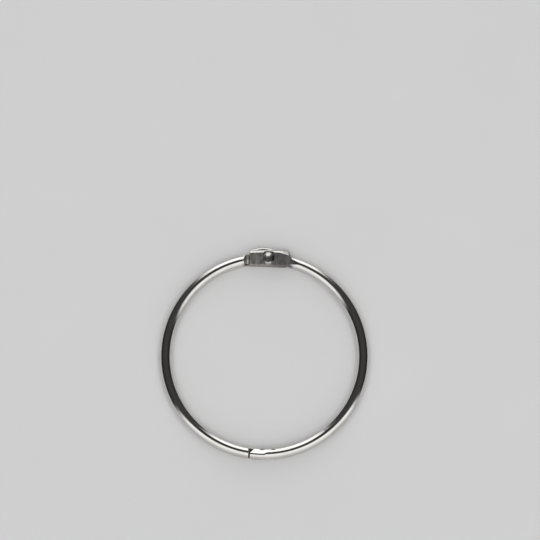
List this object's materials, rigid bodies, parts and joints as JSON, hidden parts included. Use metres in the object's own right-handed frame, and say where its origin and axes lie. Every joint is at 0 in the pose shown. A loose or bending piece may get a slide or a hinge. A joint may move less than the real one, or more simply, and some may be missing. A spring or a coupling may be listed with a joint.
{
  "type": "hinged binder ring",
  "caption": "Round hinged ring of bright plated wire for holding punched sheets, with a riveted lap hinge and a hooked half-lap clasp.",
  "frame": {"origin": "centre of the closed ring, in the middle plane of the wire", "axes": "+Z along the ring's axis, towards the domed head of the rivet; +Y towards the rivet, so the clasp is at -Y; +X towards the half that swings"},
  "size_m": [0.0572, 0.0589, 0.0041],
  "materials": {
    "bright_nickel": "bright nickel plate on steel wire, brushed on the pressed lobes",
    "rivet_nickel": "bright nickel plate, slightly burnished by the closing tool"
  },
  "bodies": {
    "left_half": {"left_half_ring": "bright_nickel", "hinge_rivet": "rivet_nickel"},
    "right_half": {"right_half_ring": "bright_nickel"}
  },
  "joints": [
    {"name": "ring_hinge", "type": "hinge", "parent": "left_half", "child": "right_half", "pos_m": [0, 0.027, 0], "axis": [0, 0, 1], "range_deg": [0, 120]}
  ]
}
